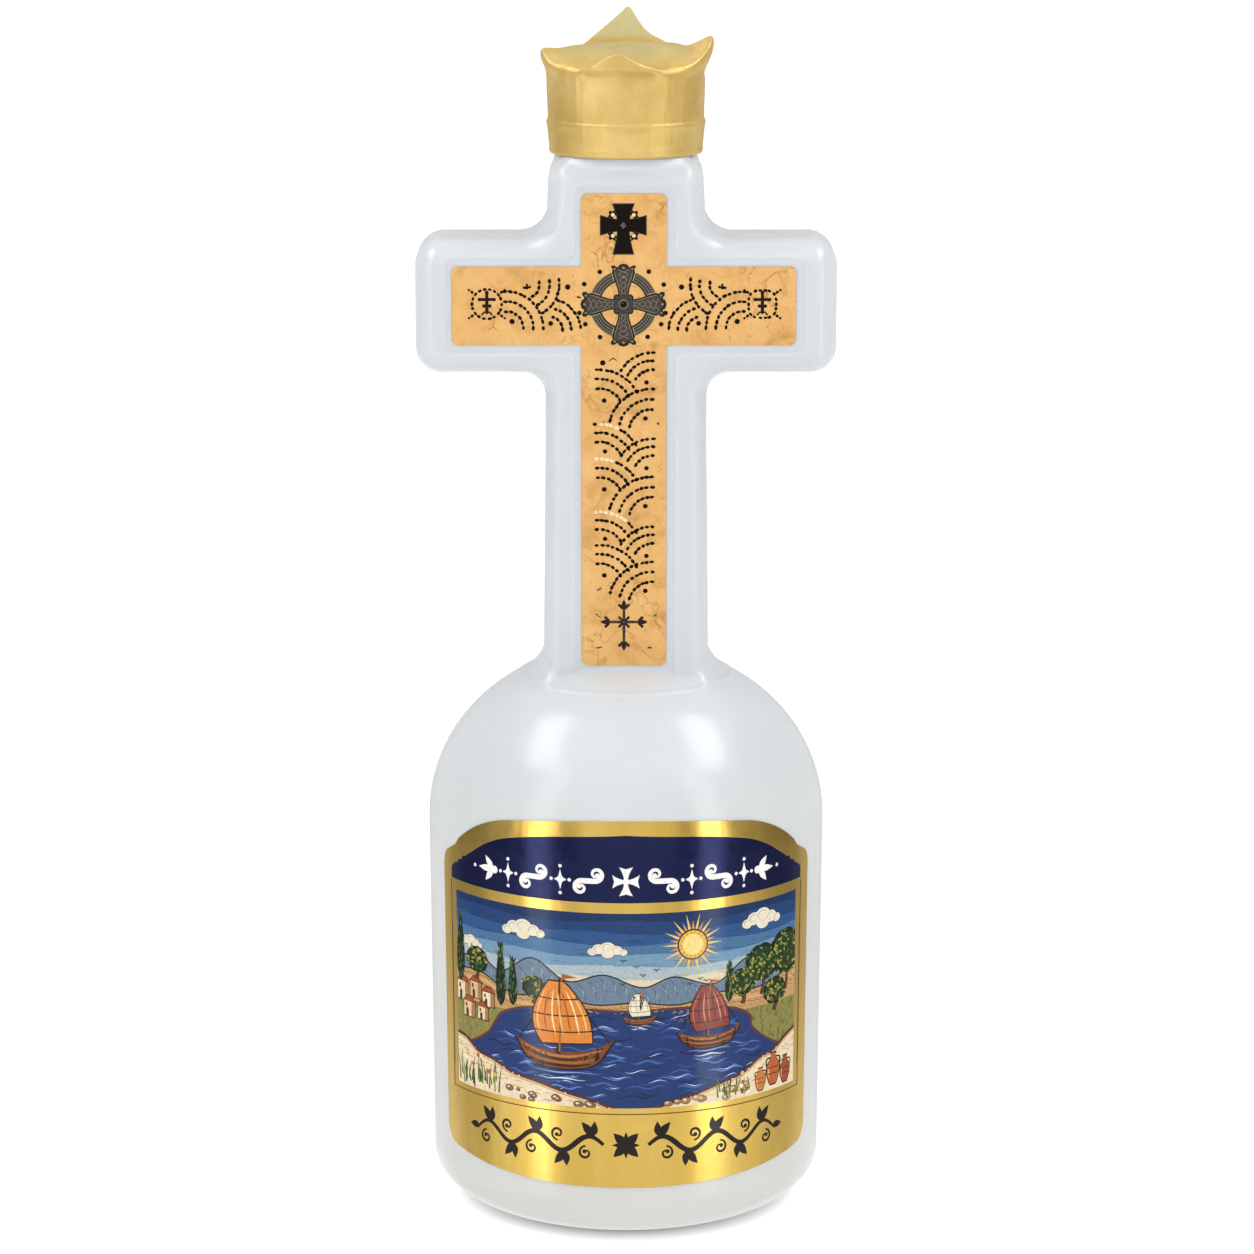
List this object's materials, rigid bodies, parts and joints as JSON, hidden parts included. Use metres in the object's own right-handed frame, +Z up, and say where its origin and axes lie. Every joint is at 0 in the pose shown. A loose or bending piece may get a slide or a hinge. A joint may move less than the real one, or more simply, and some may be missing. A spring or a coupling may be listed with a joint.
{
  "type": "holy water bottle",
  "caption": "Hollow round bottle with a cross-shaped neck, a crown-shaped screw cap, a cross sticker and a curved foil label, for keeping and pouring blessed water.",
  "frame": {"origin": "middle of the standing ring on the table", "axes": "+Z up along the bottle, front with both labels towards -Y, arms of the cross along X"},
  "size_m": [0.0784, 0.0756, 0.2267],
  "materials": {
    "bottle_plastic": "glossy pearly white polyethylene, slightly translucent",
    "sticker_paper": "printed parchment-look sticker, satin",
    "label_foil": "gold metallised film label with glossy print",
    "liner_foam": "fine closed-cell foam disc",
    "cap_plastic": "plain white moulded plastic",
    "crown_gold": "satin gold-lacquered thin plastic"
  },
  "bodies": {
    "bottle": {"bottle_shell": "bottle_plastic", "cross_label": "sticker_paper", "body_label": "label_foil"},
    "liner": {"cap_liner": "liner_foam"},
    "cap": {"inner_cap": "cap_plastic", "crown_cover": "crown_gold"}
  },
  "joints": [
    {"name": "cap_lift", "type": "slide", "parent": "bottle", "child": "liner", "axis": [0, 0, 1], "range_m": [0, 0.01906]},
    {"name": "cap_turn", "type": "hinge", "parent": "liner", "child": "cap", "pos_m": [0, 0, 0.2134], "axis": [0, 0, 1], "range_deg": [0, 2160]}
  ],
  "couplings": [
    {"joint": "cap_lift", "follows": "cap_turn", "m_per_rad": 0.00050532}
  ]
}
